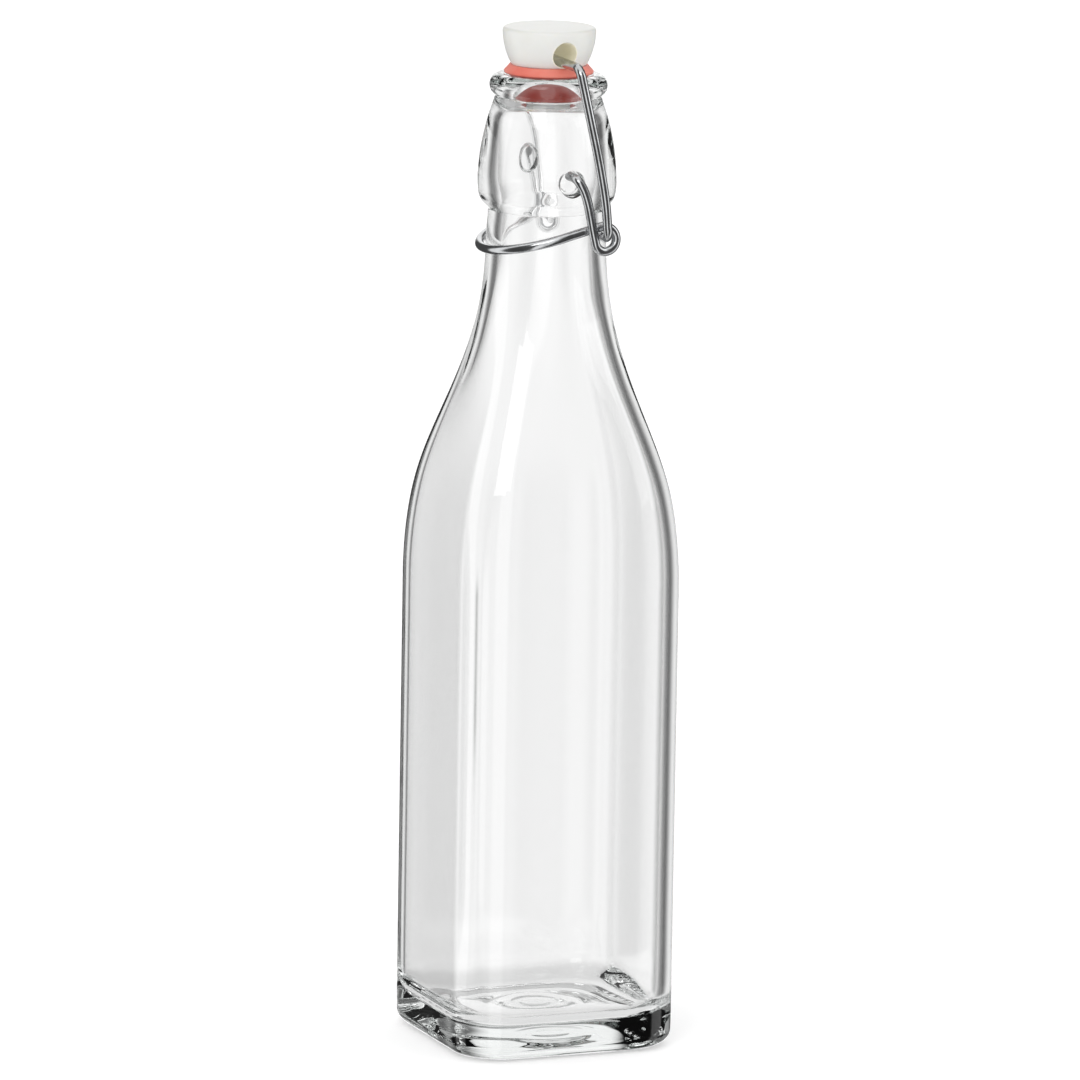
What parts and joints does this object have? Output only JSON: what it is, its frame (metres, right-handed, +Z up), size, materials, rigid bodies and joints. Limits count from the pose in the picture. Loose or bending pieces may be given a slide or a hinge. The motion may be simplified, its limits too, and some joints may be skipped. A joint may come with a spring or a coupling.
{
  "type": "swing-top growler",
  "caption": "Square clear-glass bottle with a swing-top closure: a wire lever on the neck pulls a bail, stopper and rubber gasket down onto the mouth.",
  "frame": {"origin": "centre of the base, on the plane the bottle stands on", "axes": "+Z up through the mouth; the closure pivots turn about Y; the thumb loop is on the -X side of the neck and the eyelets are on the +X side; X and Y are square to the flat sides"},
  "size_m": [0.063, 0.063, 0.273],
  "materials": {
    "bottle_glass": "clear, fire-polished",
    "stopper_plastic": "satin",
    "gasket_rubber": "matte",
    "wire_steel": "bright drawn wire"
  },
  "bodies": {
    "bottle": {"bottle": "bottle_glass"},
    "lever": {"lever_wire": "wire_steel"},
    "bail": {"bail_wire": "wire_steel"},
    "stopper": {"stopper": "stopper_plastic", "gasket": "gasket_rubber"}
  },
  "joints": [
    {"name": "lever_pivot", "type": "hinge", "parent": "bottle", "child": "lever", "pos_m": [0, 0, 0.2352], "axis": [0, 1, 0], "range_deg": [0, 92], "deforming": ["gasket"]},
    {"name": "bail_hook", "type": "hinge", "parent": "lever", "child": "bail", "pos_m": [0.0085, 0, 0.2191], "axis": [0, 1, 0], "range_deg": [-60, 0]},
    {"name": "stopper_bar", "type": "hinge", "parent": "bail", "child": "stopper", "pos_m": [0, 0, 0.2646], "axis": [0, 1, 0], "range_deg": [-34, 0]}
  ],
  "couplings": [
    {"joint": "bail_hook", "follows": "lever_pivot", "ratio": -0.645},
    {"joint": "stopper_bar", "follows": "lever_pivot", "ratio": -0.355}
  ]
}
